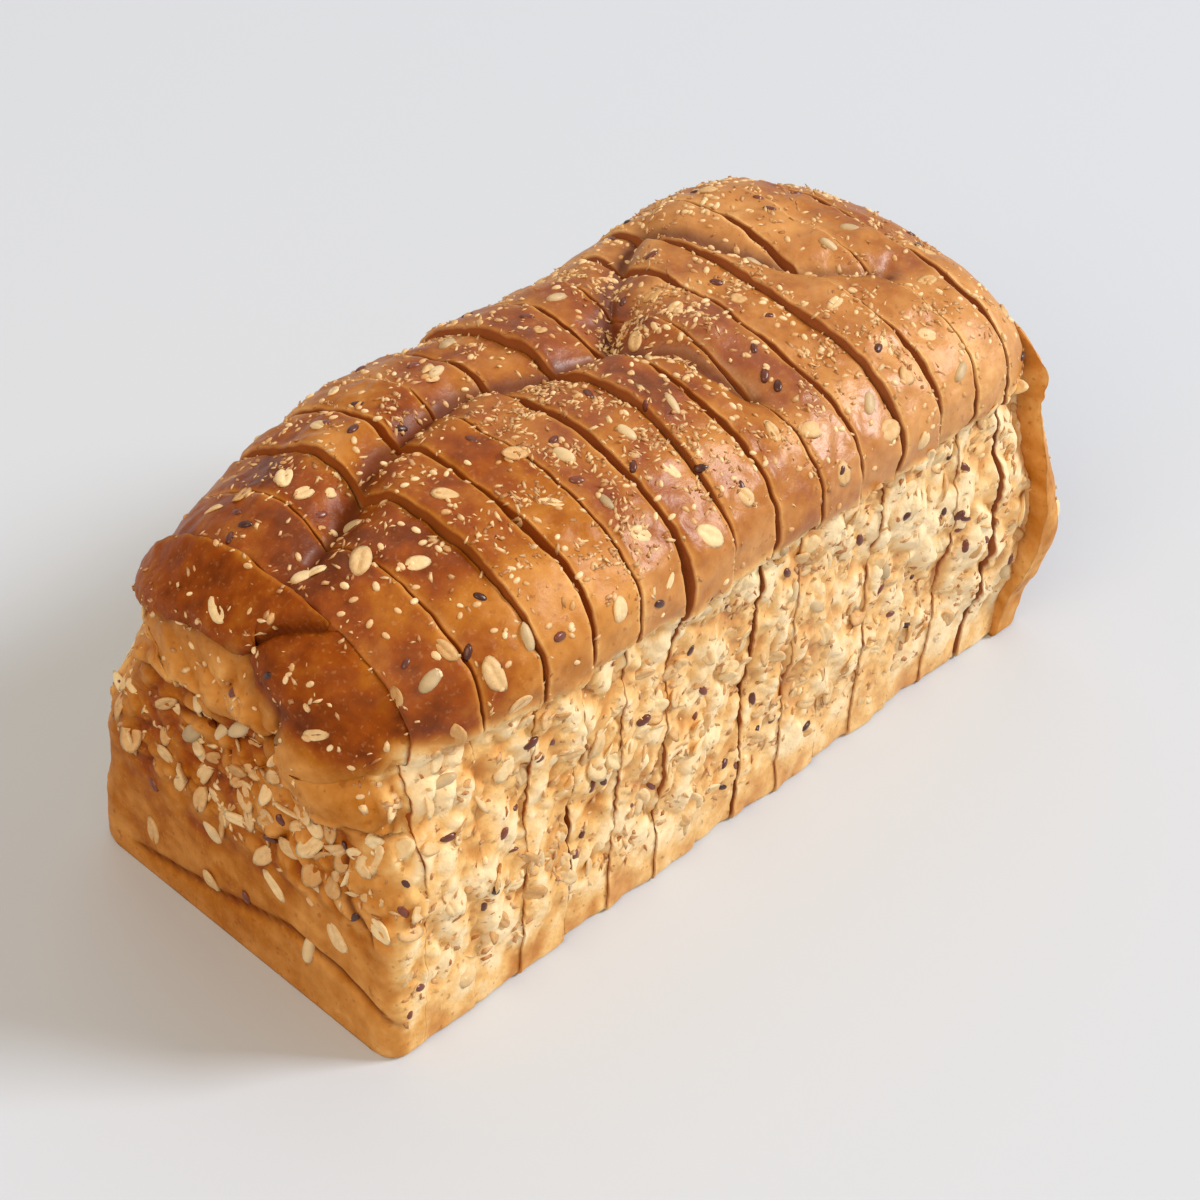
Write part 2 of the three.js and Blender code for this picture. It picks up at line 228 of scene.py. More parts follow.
# Creases of the end faces, as lines of (y, z)
FRONT_CREASES = [
    [(-11.9, 83.5), (-16.4, 83.2), (-21.9, 82.8)],
    [(20, 58.3), (11.6, 61.2), (1.3, 62.7), (-5.8, 63.9)],
    [(-17, 43.5), (-20, 36)],
    [(-31.8, 52.6), (-34, 40.8), (-41, 32.7)],
    [(34, 5), (16, 8.7), (-0.5, 12.9), (-15.3, 17.2), (-31.8, 16), (-48, 10.7)],
]
BACK_CREASES = [[(-36, 24), (-10, 21), (14, 24), (38, 20)]]

# Spacing of the modelled points
ARC_POINTS = 90
BASE_SPACING = 5
FINE_SPACING = 0.7
RIM_STATIONS = [0, 0.2, 0.5, 1.0]
CUT_FACE_SHARES = [0.2, 0.5, 0.75, 0.88, 0.95, 0.985]
HEEL_STATIONS = 18
HEEL_FACE_RINGS = 84

# Toppings: length, width and thickness, counts in the solids, scale on slices, and unevenness of form
TOPPINGS = {
    "oat_flakes": SimpleNamespace(
        size=(8.4, 6.2, 1.2), on_slice=5, on_face=9, slice_scale=0.72, uneven=0.16, narrowest=0.6, curl=2.0
    ),
    "sunflower_kernels": SimpleNamespace(
        size=(8, 4, 2.6), on_slice=2, on_face=3, slice_scale=0.85, uneven=0.07, narrowest=0.8, curl=0
    ),
    "linseed": SimpleNamespace(
        size=(4.8, 2.5, 1.6), on_slice=2, on_face=4, slice_scale=0.9, uneven=0.03, narrowest=0.9, curl=0
    ),
    "sesame": SimpleNamespace(
        size=(3.3, 2, 1.3), on_slice=1, on_face=2, slice_scale=0.8, uneven=0.06, narrowest=0.85, curl=0
    ),
    "bran": SimpleNamespace(
        size=(1.9, 1.0, 0.6), on_slice=0, on_face=0, slice_scale=1, uneven=0.5, narrowest=0.5, curl=1.0
    ),
}
TOPPING_CLEAR = 0.5
TOPPING_LOWEST = 12
FACE_TOPPING_REACH = 0.82
SPREAD_STEPS = (0.6180339887, 0.7548776662, 0.5698402910)  # from the golden and plastic ratios


def smoothstep(value, low, high):
    share = np.clip((value - low) / (high - low), 0, 1)
    return share * share * (3 - 2 * share)


def lerp(a, b, share):
    return a + (b - a) * share


def bell(value, half_width):
    return np.exp(-((value / half_width) ** 2))


def spread(n, k):
    """The n-th of evenly spread shares between 0 and 1."""
    return (0.5 + n * SPREAD_STEPS[k]) % 1


def either(n, k):
    return 2 * spread(n, k) - 1


# Noise, on a lattice that is turned off the loaf's axes
TURNED = np.array(
    Matrix.Rotation(0.7, 3, "X") @ Matrix.Rotation(0.5, 3, "Y") @ Matrix.Rotation(1.1, 3, "Z")
)
HASH_STEPS = (374761393, 668265263, 982451653)  # large primes, which tell neighbouring lattice points apart
HASH_MIX = 1274126177


def hashed(cell, salt):
    """Even random shares for whole-number lattice points."""
    mixed = sum(cell[..., k] * HASH_STEPS[k] for k in range(3)) + salt * HASH_MIX
    mixed = (mixed ^ (mixed >> 13)) * HASH_MIX & 0xFFFFFFFF
    return ((mixed ^ (mixed >> 16)) & 0xFFFF) / 0xFFFF


def noise(points, pitch, salt):
    """Smooth noise from -1 to 1 with bumps about a pitch apart; each salt gives another such noise."""
    turned = points @ TURNED / pitch
    cell = np.floor(turned).astype(np.int64)
    share = turned - cell
    share = share * share * share * (share * (share * 6 - 15) + 10)
    total = np.zeros(points.shape[:-1])
    for corner in np.ndindex(2, 2, 2):
        weight = np.prod(np.where(corner, share, 1 - share), axis=-1)
        total += weight * hashed(cell + corner, salt)
    return 2 * total - 1


def layered(points, layers):
    return sum(height * noise(points, pitch, salt) for height, pitch, salt in layers)


def ridged(points, layers):
    """Layers of noise folded up at zero, so that creases part round crags."""
    return sum(height * np.abs(noise(points, pitch, salt)) for height, pitch, salt in layers)


# The loaf's form, as functions over arrays of points
def half_section():
    """The section's right half as (distance from the middle, height), from the base to the dome's top."""
    wall_top = HALF_WIDTH - WALL_WAIST
    turn = np.linspace(0, math.pi / 2, ARC_POINTS)
    sine = np.sin(turn)
    cosine = np.clip(np.cos(turn), 0, 1)
    edge = np.stack([HALF_WIDTH - BASE_EDGE_RADIUS * (1 - sine), BASE_EDGE_RADIUS * (1 - cosine)], -1)
    lip = np.stack([lerp(wall_top, LIP_HALF_WIDTH, sine), lerp(WALL_HEIGHT, LIP_HEIGHT, 1 - cosine)], -1)
    power = 2 / DOME_POWER
    dome = np.stack([LIP_HALF_WIDTH * cosine**power, lerp(LIP_HEIGHT, DOME_HEIGHT, sine**power)], -1)
    return np.concatenate([edge, lip, dome[1:]])


def lengths_along(line):
    return np.concatenate([[0], np.cumsum(np.linalg.norm(np.diff(line, axis=0), axis=1))])


def along(line, lengths):
    """Points of a line at given lengths from its start."""
    own = lengths_along(line)
    return np.stack([np.interp(lengths, own, line[:, k]) for k in range(line.shape[1])], -1)


def section_ring():
    """The whole section as (y, z): from the middle of the base up the right side and over to the left."""
    half = half_section()
    length = lengths_along(half)[-1]
    fine = along(half, np.linspace(0, length, round(length / FINE_SPACING)))
    base = np.linspace(0, half[0, 0], round(half[0, 0] / BASE_SPACING), endpoint=False)
    right = np.concatenate([np.stack([base, np.zeros_like(base)], -1), fine])
    left = right[1:-1][::-1]
    return np.concatenate([right * (-1, 1), left])


RING = section_ring()


def distance_to_line(a, b, line):
    """Distance in a plane from points (a, b) to a line of points."""
    least = np.full(np.shape(a), np.inf)
    for (a0, b0), (a1, b1) in zip(line, line[1:]):
        run = (a1 - a0) ** 2 + (b1 - b0) ** 2
        share = np.clip(((a - a0) * (a1 - a0) + (b - b0) * (b1 - b0)) / run, 0, 1)
        least = np.minimum(least, np.hypot(a - lerp(a0, a1, share), b - lerp(b0, b1, share)))
    return least


def height_over_lip(y, z, lip):
    """Distance from a lip's line, positive above it; the line runs from left to right."""
    ascending = np.array(lip[::-1])
    level = np.interp(y, ascending[:, 0], ascending[:, 1])
    return distance_to_line(y, z, lip) * np.sign(z - level)


def front_end(y, z):
    lobe = FRONT_LOBE_OUT * smoothstep(height_over_lip(y, z, LOBE_LIP), -LIP_TURN, LOBE_ROUND)
    flap = FRONT_LOBE_OUT * smoothstep(height_over_lip(y, z, FLAP_LIP), -LIP_TURN, FLAP_ROUND)
    layer = LAYER_OUT * smoothstep(height_over_lip(y, z, LAYER_LIP), -LIP_TURN, LIP_TURN)
    return FRONT_X - np.maximum(np.maximum(lobe, flap), layer)


def back_end(y, z):
    return BACK_X + BACK_LOBE_OUT * smoothstep(z - BACK_LIP, -BACK_LIP_TURN, BACK_LIP_TURN)


def folded_dough(y, z, folds, from_cut):
    """How far folds of dough stand out, and the painted shade in the crease under a lip and below it, 0 to 1.
    """
    out = np.zeros(np.shape(y))
    painted_shade = np.zeros(np.shape(y))
    place = np.stack([y, z, np.zeros_like(y)], -1)
    for lip, fold_out, at_cut in folds:
        height = height_over_lip(y, z, lip) + LIP_RAGGED * noise(place, LIP_RAGGED_PITCH, 33)
        kept = lerp(at_cut, 1, from_cut)
        over = smoothstep(height, -LIP_TURN, LIP_TURN)
        # painted shade: full in the crease under a lip, fainter over a wider reach below it
        under = bell(height + LIP_CREASE_HALF_WIDTH, LIP_CREASE_HALF_WIDTH)
        shaded = LIP_SHADE * bell(height + LIP_SHADE_HALF_WIDTH, LIP_SHADE_HALF_WIDTH)
        roll = LIP_ROLL * bell(height - LIP_ROLL_HALF_WIDTH, LIP_ROLL_HALF_WIDTH)
        out = lerp(out - LIP_CREASE * under, (fold_out + roll) * kept, over)
        painted_shade = np.maximum(painted_shade, np.maximum(under, shaded) * kept) * (1 - over)
    return out, painted_shade


def end_inset(to_end, dome_reach, z):
    dome = smoothstep(z, END_BLEND_FROM, END_BLEND_TO)
    reach = lerp(WALL_END_REACH, dome_reach, dome)
    drop = lerp(WALL_END_DROP, DOME_END_DROP, dome)
    into = np.clip(1 - to_end / reach, 0, 1)
    return drop * (1 - np.sqrt(1 - into * into))


def fold_distance(x, y):
    return np.min([distance_to_line(x, y, line) for line in FOLDS], axis=0)


def dome_relief(x, y):
    rise = np.zeros(np.broadcast(x, y).shape)
    for swell_x, swell_y, half_length, half_width, height in SWELLS:
        rise += height * bell(x - swell_x, half_length) * bell(y - swell_y, half_width)
    fold = fold_distance(x, y)
    return rise - FOLD_DEPTH * bell(fold, FOLD_HALF_WIDTH) - CREASE_DEPTH * bell(fold, CREASE_HALF_WIDTH)


def wall_relief(x, z):
    bump = WALL_BUMP * np.sin(2 * math.pi / WALL_BUMP_PITCH * (z + x))
    swell = BACK_SWELL.rise * bell(x - BACK_SWELL.x, BACK_SWELL.along)
    swell = swell * bell(z - BACK_SWELL.z, BACK_SWELL.upright)
    return (bump + swell) * smoothstep(z, RELIEF_FROM, RELIEF_TO)


def surface(x, y, z, inset, piece):
    """Points of the section drawn in by an inset, swollen by the relief and set as their piece stands."""
    straight = lerp(HALF_WIDTH - WALL_WAIST, LIP_HALF_WIDTH, smoothstep(z, FILLED_FROM, LIP_HEIGHT))
    is_side = (z > RELIEF_TO) & (z < LIP_HEIGHT)
    y = np.where(is_side, np.sign(y) * np.maximum(np.abs(y), straight * piece.filled), y)
    own_y = y * (1 - inset / HALF_WIDTH)
    own_z = z + (piece.lift - inset) * smoothstep(z, DROP_FROM, DOME_HEIGHT)
    dome = smoothstep(z, WALL_HEIGHT, LIP_HEIGHT)
    swell = lerp(wall_relief(x, own_z), dome_relief(x, own_y), dome) * (z > RELIEF_FROM)
    out_y = own_y
    out_z = own_z - RELIEF_CENTRE_Z
    reach = np.hypot(out_y, out_z)
    own_y = own_y + swell * out_y / reach
    own_z = own_z + swell * out_z / reach
    return np.stack([x, own_y + piece.shift + piece.lean * own_z, own_z], -1)


def cut_x(cut):
    return FIRST_CUT_X + cut * SLICE_PITCH


def is_open(cut):
    return cut >= FIRST_OPEN_CUT and (cut - FIRST_OPEN_CUT) % 2 == 0


def half_gap(cut):
    return (OPEN_GAP if is_open(cut) else THIN_GAP) / 2


def cut_face_x(cut, side, y, z):
    """Where a cut's face lies on one side: open over the dome, nearly shut between the walls, wavy."""
    place = np.stack(np.broadcast_arrays(np.full(np.shape(y), cut * CUT_NOISE_STEP), y, z), -1)
    shut = WALL_CUTS.get(cut, SHUT_SHARE)
    opened = lerp(shut, 1, smoothstep(z, SHUT_BELOW, OPEN_ABOVE))
    if cut == 0:
        opened = shut
    width = half_gap(cut) * opened * (GAP_MEAN + GAP_VARIES * noise(place, GAP_PITCH, 8))
    return cut_x(cut) + side * width + layered(place, CUT_STRAY)


def distance_to_cut(x, piece):
    """Distance to the nearer cut that shows; the first one doesn't."""
    from_start = x - piece.start + (SLICE_PITCH if piece.cut == 1 else 0)
    return np.minimum(from_start, piece.stop - x)


def slice_outside(x, y, z, piece):
    rim = CUT_EDGE_DROP * (1 - smoothstep(distance_to_cut(x, piece), 0, CUT_EDGE))
    rim = rim * smoothstep(z, SHUT_BELOW, OPEN_ABOVE)
    front = end_inset(x - front_end(y, z), FRONT_DOME_REACH, z)
    back = end_inset(back_end(y, z) - x, BACK_DOME_REACH, z)
    return surface(x, y, z, rim + front + back, piece)


def heel_outside(share, y, z, piece):
    to_end = np.abs(piece.cut_x - piece.end(y, z)) * (1 - share)
    points = surface(np.full(np.shape(y), piece.cut_x), y, z, end_inset(to_end, piece.dome_reach, z), piece)
    points[..., 0] = lerp(piece.cut_x, piece.end(own_y(points, piece), points[..., 2]), share)
    return points


def own_y(points, piece):
    return points[..., 1] - piece.shift - piece.lean * points[..., 2]


# Small relief and browning of the outside
def crust_relief(points, dome):
    """Blisters on the dome and crags on the walls, in millimetres."""
    crest = smoothstep(points[..., 2], *CREST)
    blister = layered(points, BLISTERS) + crest * layered(points, CREST_BLISTERS)
    crag = ridged(points * CRAG_STRETCH, CRAGS) + ridged(points, FINE_CRAGS) - CRAG_SINK
    crag *= lerp(FOOT_CRAGS, 1, smoothstep(points[..., 2], RELIEF_FROM, RELIEF_TO))
    return lerp(crag, blister, dome)


def browning_and_painted_light(points, dome_share):
    """How brown the outside is baked, from 0 to 1, with painted shade and sheen on the dome."""
    x, y, z = np.moveaxis(points, -1, 0)
    is_dome = smoothstep(z + layered(points, DOME_EDGE_STRAY), WALL_HEIGHT, LIP_HEIGHT - 0.5)
    is_dome = is_dome * smoothstep(dome_share, 0, 0.4)
    top = DOME_BROWN + layered(points, DOME_BLOTCHES)
    # painted shade at the front, painted sheen on the back and, partly, on the shoulders
    top += FRONT_PAINTED_SHADE * smoothstep(x, *FRONT_STRETCH)
    top -= BACK_PAINTED_SHEEN * smoothstep(x, *BACK_STRETCH)
    shoulder_paling_and_sheen = smoothstep(np.abs(y), *SHOULDER_OUT) * smoothstep(x, *SHOULDER_STRETCH)
    top -= SHOULDER_PALER_AND_PAINTED_SHEEN * shoulder_paling_and_sheen
    crest = smoothstep(z, *CREST_BROWN_HEIGHTS)
    top += (CREST_BROWNER + layered(points, CREST_BLOTCHES)) * crest
    side = WALL_BROWN + layered(points, WALL_BLOTCHES) + layered(points * CRAG_STRETCH, WALL_STREAKS)
    side += FOOT_BROWNER * smoothstep(z, *FOOT_HEIGHTS)
    side += CORNER_BROWNER * smoothstep(x, *CORNER_STRETCH)
    return np.clip(lerp(side, top, is_dome), 0, 1)


def front_face_browning(y, z):
    value = lerp(*PANEL_BROWN, smoothstep(z, *PANEL_HEIGHTS))
    value = value - PANEL_PALER_RIGHT * smoothstep(y, *PANEL_RIGHT)
    over_tan = z - LOBE_TAN_HEIGHT - LOBE_TAN_SLOPE * y
    on_lobe = lerp(*LOBE_BROWN, smoothstep(over_tan, *TAN_EDGE))
    for lip, brown in [(LAYER_LIP, LAYER_BROWN), (LOBE_LIP, on_lobe), (FLAP_LIP, FLAP_BROWN)]:
        value = lerp(value, brown, smoothstep(height_over_lip(y, z, lip), -LIP_TURN, LIP_TURN))
    return value


def back_face_browning(y, z):
    panel = lerp(*BACK_PANEL_BROWN, smoothstep(z, *BACK_PANEL_HEIGHTS))
    return lerp(panel, BACK_LOBE_BROWN, smoothstep(z, BACK_LIP - 1, BACK_LIP + 3))


def end_face_relief(points, piece):
    """How far an end face's fine form stands out: creases, and a rough band between panel and lobes."""
    y = own_y(points, piece)
    z = points[..., 2]
    crease = np.min([distance_to_line(y, z, line) for line in piece.creases], axis=0)
    inset = np.abs(piece.end(y, z) - piece.end(0.0, 0.0))
    band = smoothstep(z, *ROUGH_BAND) * (1 - 0.8 * smoothstep(inset, 0.5, 3))
    rough = ridged(points, FACE_CRAGS) - FACE_CRAG_SINK
    rough = rough * (1 - SMOOTH_FACE_LESS * piece.smooth)
    creased = FACE_CREASE_DEPTH * bell(crease, FACE_CREASE_HALF_WIDTH)
    return layered(points, FACE_WAVES) + band * rough - creased


# Meshes from rings of points
def grid_normals(rings):
    across = np.roll(rings, -1, 1) - np.roll(rings, 1, 1)
    lengthwise = np.gradient(rings, axis=0)
    normals = np.cross(lengthwise, across)
    return normals / np.maximum(np.linalg.norm(normals, axis=-1, keepdims=True), 1e-9)


def ring_faces(ring_count, around):
    """Quads between rings that follow each other, and fans over the first and last ring."""
    i = np.arange(around)
    following = np.roll(i, -1)
    starts = np.arange(ring_count - 1)[:, None] * around
    quads = np.stack([starts + i, starts + around + i, starts + around + following, starts + following], -1)
    first = ring_count * around
    last = (ring_count - 1) * around
    front_fan = np.stack([np.full(around, first), i, following], -1)
    back_fan = np.stack([np.full(around, first + 1), last + following, last + i], -1)
    return quads.reshape(-1, 4).tolist() + front_fan.tolist() + back_fan.tolist()


def loaf_offset():
    """From the loaf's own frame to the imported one, in millimetres, read from two of its solids."""
    slice_low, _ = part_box("slice_07")
    heel_low, heel_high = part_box("heel_front")
    start = cut_x(6) + SOLID_GAP / 2
    return np.array([slice_low[0] / MM - start, (heel_low[1] + heel_high[1]) / 2 / MM, 0])


OFFSET = loaf_offset()


def to_frame(points):
    return (points + OFFSET) * MM


def add_mesh(name, points, faces, values):
    """A smooth mesh of points in the loaf's own millimetres, with named values at each point."""
    mesh = bpy.data.meshes.new(name)
    mesh.from_pydata(to_frame(points).tolist(), [], faces)
    mesh.polygons.foreach_set("use_smooth", np.ones(len(mesh.polygons), dtype=bool))
    for key, column in values.items():
        attribute = mesh.attributes.new(key, "FLOAT", "POINT")
        attribute.data.foreach_set("value", np.ascontiguousarray(column, dtype=np.float32))
    mesh.update()
    made = bpy.data.objects.new(name, mesh)
    bpy.context.collection.objects.link(made)
    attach(made, "root")
    return made


def ring_mesh(name, rings, values):
    around = rings.shape[1]
    poles = np.stack([rings[0].mean(0), rings[-1].mean(0)])
    points = np.concatenate([rings.reshape(-1, 3), poles])
    columns = {}
    for key, grid in values.items():
        columns[key] = np.concatenate([grid.reshape(-1), [grid[0].mean(), grid[-1].mean()]])
    return add_mesh(name, points, ring_faces(len(rings), around), columns)


def cut_face(rim, cut, side):
    """Rings of a cut face from near its middle out to its rim, and how far each point is from the crust."""
    centre = rim.mean(0)
    rings = np.stack([lerp(centre, rim, share) for share in CUT_FACE_SHARES])
    inward = np.linalg.norm(rim - rings, axis=-1)
    crumb = layered(rings, CRUMB_ROUGHNESS) * smoothstep(inward, *CRUMB_FROM)
    rings[..., 0] = cut_face_x(cut, side, rings[..., 1], rings[..., 2]) + crumb
    return rings, inward


def slice_mesh(name, piece):
    width = piece.stop - piece.start
    inner = np.arange(RIM_STATIONS[-1] + FINE_SPACING, width - RIM_STATIONS[-1] - 0.1, FINE_SPACING)
    depth = np.concatenate([RIM_STATIONS, inner, width - np.array(RIM_STATIONS[::-1])])
    x, y = np.meshgrid(piece.start + depth, RING[:, 0], indexing="ij")
    z = np.broadcast_to(RING[:, 1], x.shape)
    rings = slice_outside(x, y, z, piece)
    front_x = cut_face_x(piece.cut - 1, 1, rings[..., 1], rings[..., 2])
    back_x = cut_face_x(piece.cut, -1, rings[..., 1], rings[..., 2])
    rings[..., 0] = lerp(front_x, back_x, (x - piece.start) / width)
    dome = smoothstep(z, WALL_HEIGHT, LIP_HEIGHT)
    relief = crust_relief(rings, dome) * (z > 0.5)
    rings += grid_normals(rings) * (0, 1, 1) * relief[..., None]
    rings[..., 2] = np.maximum(rings[..., 2], 0)
    # paler where wall crags stand out, with painted shade in their recesses
    brown = browning_and_painted_light(rings, dome) - CRAG_PALING_AND_RECESS_SHADE * relief * (1 - dome)
    brown = brown - PALE_RIM * dome * bell(distance_to_cut(x, piece), PALE_RIM_HALF_WIDTH)
    # painted shade along the dome's folds
    fold = bell(fold_distance(rings[..., 0], rings[..., 1]), FOLD_PAINTED_SHADE_HALF_WIDTH) * dome
    front, front_inward = cut_face(rings[0], piece.cut - 1, 1)
    back, back_inward = cut_face(rings[-1], piece.cut, -1)
    whole = np.concatenate([front, rings, back[::-1]])
    zero = np.zeros(rings.shape[:2])
    front_brown = np.repeat(brown[:1], len(front), 0)
    back_brown = np.repeat(brown[-1:], len(back), 0)
    values = {
        "browning_and_painted_light": np.concatenate([front_brown, brown, back_brown]),
        "inward": np.concatenate([front_inward, zero, back_inward[::-1]]),
        "cut": np.concatenate([np.ones_like(front_inward), zero, np.ones_like(back_inward)]),
        "painted_shade": np.concatenate([np.zeros_like(front_inward), fold, np.zeros_like(back_inward)]),
    }
    return ring_mesh(name, whole, values)


def heel_mesh(name, piece):
    share, y = np.meshgrid(np.linspace(0, 1, HEEL_STATIONS), RING[:, 0], indexing="ij")
    z = np.broadcast_to(RING[:, 1], share.shape)
    side = heel_outside(share, y, z, piece)
    toward = np.sign(piece.end(0.0, 0.0))
    inner_x = cut_face_x(piece.cut, toward, side[..., 1], side[..., 2])
    side[..., 0] += (inner_x - piece.cut_x) * (1 - share)
    outline = side[-1]
    centre = outline.mean(0)
    shares = np.linspace(1, 0, HEEL_FACE_RINGS + 2)[1:-1]
    face = np.stack([lerp(centre, outline, s) for s in shares])
    face[..., 0] = piece.end(own_y(face, piece), face[..., 2])
    outer = np.concatenate([side, face])
    on_face = np.concatenate([share**3, np.ones(face.shape[:2])])
    dome_side = smoothstep(z, WALL_HEIGHT, LIP_HEIGHT)
    dome = np.concatenate([dome_side, smoothstep(face[..., 2], *FACE_DOME)])
    rim_relief = crust_relief(outer, np.maximum(dome, piece.smooth))
    from_cut = np.concatenate([smoothstep(share, 0, 0.8), np.ones(face.shape[:2])])
    folds_out, painted_shade = folded_dough(own_y(outer, piece), outer[..., 2], piece.folds, from_cut)
    folded = smoothstep(folds_out, *FOLDED_OUT)
    relief = lerp(rim_relief, end_face_relief(outer, piece), np.maximum(on_face, folded))
    stand_out = relief + folds_out
    normals = grid_normals(outer) * toward
    outer = outer + normals * (stand_out * smoothstep(outer[..., 2], *HEEL_FOOT))[..., None]
    outer[..., 2] = np.maximum(outer[..., 2], 0)
    # blotches, paler where the face stands out, with painted shade in its recesses
    blotches_and_recess_shade = layered(outer, FACE_BLOTCHES) * (1 - 0.5 * folded) - FACE_PALING_AND_RECESS_SHADE * relief
    face_brown = np.clip(piece.face_browning(own_y(outer, piece), outer[..., 2]) + blotches_and_recess_shade, 0, 1)
    # browning of the heel's sides, with painted shade in the crags' recesses
    side_browning_and_painted_light = browning_and_painted_light(outer, dome) - CRAG_PALING_AND_RECESS_SHADE * rim_relief * (1 - dome)
    rim_brown = lerp(side_browning_and_painted_light, BACK_SIDE_BROWN + blotches_and_recess_shade, piece.smooth)
    brown = lerp(rim_brown, face_brown, np.maximum(on_face, folded))
    brown -= PALE_RIM * folded * bell(outer[..., 0] - piece.cut_x, HEEL_RIM_HALF_WIDTH)
    cut, inward = cut_face(side[0], piece.cut, toward)
    zero = np.zeros(outer.shape[:2])
    # painted shade along the end faces' creases
    for line in piece.creases:
        crease = distance_to_line(own_y(outer, piece), outer[..., 2], line)
        painted_shade = np.maximum(painted_shade, bell(crease, LIP_CREASE_HALF_WIDTH) * on_face)
    values = {
        "browning_and_painted_light": np.concatenate([np.repeat(brown[:1], len(cut), 0), brown]),
        "inward": np.concatenate([inward, zero]),
        "cut": np.concatenate([lerp(1, smoothstep(inward, *BACK_CUT_CRUST), piece.smooth), zero]),
        "painted_shade": np.concatenate([np.zeros_like(inward), painted_shade]),
    }
    whole = np.concatenate([cut, outer])
    if toward < 0:
        whole = whole[::-1]
        values = {key: grid[::-1] for key, grid in values.items()}
    return ring_mesh(name, whole, values)


# Pieces of the loaf
def make_slice(number):
    piece = SimpleNamespace(
        cut=number,
        start=cut_x(number - 1) + half_gap(number - 1),
        stop=cut_x(number) - half_gap(number),
        shift=SLICE_SHIFT * either(number, 0) if number > 1 else 0,
        lean=0,
        lift=SLICE_RAISE * either(number, 1),
        filled=0,
    )
    return slice_mesh(f"bread_slice_{number:02d}", piece), piece


front_piece = SimpleNamespace(
    cut=0,
    cut_x=cut_x(0) - half_gap(0),
    end=front_end,
    dome_reach=FRONT_DOME_REACH,
    shift=0,
    lean=0,
    lift=0,
    smooth=0,
    filled=0,
    folds=FRONT_FOLDS,
    creases=FRONT_CREASES,
    face_browning=front_face_browning,
)
back_piece = SimpleNamespace(
    cut=SLICE_COUNT,
    cut_x=cut_x(SLICE_COUNT) + half_gap(SLICE_COUNT),
    end=back_end,
    dome_reach=BACK_DOME_REACH,
    shift=BACK_HEEL_SHIFT,
    lean=BACK_HEEL_LEAN,
    lift=BACK_HEEL_RAISE,
    smooth=1,
    filled=FILLED,
    folds=[],
    creases=BACK_CREASES,
    face_browning=back_face_browning,
)
front_heel = heel_mesh("bread_heel_front", front_piece)
slices = [make_slice(number) for number in range(1, SLICE_COUNT + 1)]
back_heel = heel_mesh("bread_heel_back", back_piece)
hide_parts("heel_front")
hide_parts("heel_back")
for number, (made, piece) in enumerate(slices, 1):
    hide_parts(f"slice_{number:02d}")
bread = [front_heel, *[made for made, piece in slices], back_heel]


# Materials
def linear(red, green, blue):
    """A colour given as it looks on a screen, 0 to 255."""
    share = np.array([red, green, blue]) / 255
    return (*np.where(share <= 0.04045, share / 12.92, ((share + 0.055) / 1.055) ** 2.4), 1)


class Look:
    """A procedural material with short ways to add nodes."""

    def __init__(self, name):
        self.material = bpy.data.materials.new(name)
        self.material.use_nodes = True
        self.nodes = self.material.node_tree.nodes
        self.links = self.material.node_tree.links
        self.shader = self.nodes["Principled BSDF"]
        self.place = self.nodes.new("ShaderNodeTexCoord").outputs["Object"]

    def plug(self, value, socket):
        if isinstance(value, bpy.types.NodeSocket):
            self.links.new(value, socket)
        else:
            socket.default_value = value

    def value(self, name):
        node = self.nodes.new("ShaderNodeAttribute")
        node.attribute_name = name
        return node.outputs["Fac"]

    def noise(self, pitch_mm, detail=2.0):
        node = self.nodes.new("ShaderNodeTexNoise")
        node.inputs["Scale"].default_value = 1 / (pitch_mm * MM)
        node.inputs["Detail"].default_value = detail
        self.links.new(self.place, node.inputs["Vector"])
        return node.outputs["Fac"]

    def math(self, operation, a, b):
        node = self.nodes.new("ShaderNodeMath")
        node.operation = operation
        self.plug(a, node.inputs[0])
        self.plug(b, node.inputs[1])
        return node.outputs[0]

    def between(self, value, low, high, to_low=0.0, to_high=1.0):
        node = self.nodes.new("ShaderNodeMapRange")
        self.plug(value, node.inputs["Value"])
        limits = {"From Min": low, "From Max": high, "To Min": to_low, "To Max": to_high}
        for key, limit in limits.items():
            node.inputs[key].default_value = limit
        return node.outputs[0]

    def ramp(self, value, stops):
        node = self.nodes.new("ShaderNodeValToRGB")
        self.plug(value, node.inputs["Fac"])
        while len(node.color_ramp.elements) < len(stops):
            node.color_ramp.elements.new(0.5)
        for element, (position, colour) in zip(node.color_ramp.elements, stops):
            element.position = position
            element.color = linear(*colour)
        return node.outputs["Color"]

    def mix(self, share, a, b):
        node = self.nodes.new("ShaderNodeMix")
        node.data_type = "RGBA"
        self.plug(share, node.inputs["Factor"])
        self.plug(a, node.inputs[6])
        self.plug(b, node.inputs[7])
        return node.outputs[2]

    def bump(self, height, depth_mm, strength=1.0):
        node = self.nodes.new("ShaderNodeBump")
        node.inputs["Strength"].default_value = strength
        node.inputs["Distance"].default_value = depth_mm * MM
        self.links.new(height, node.inputs["Height"])
        self.links.new(node.outputs["Normal"], self.shader.inputs["Normal"])

    def finish(self, colour, roughness, specular=0.5):
        self.plug(colour, self.shader.inputs["Base Color"])
        self.plug(roughness, self.shader.inputs["Roughness"])
        self.shader.inputs["Specular IOR Level"].default_value = specular
        return self.material


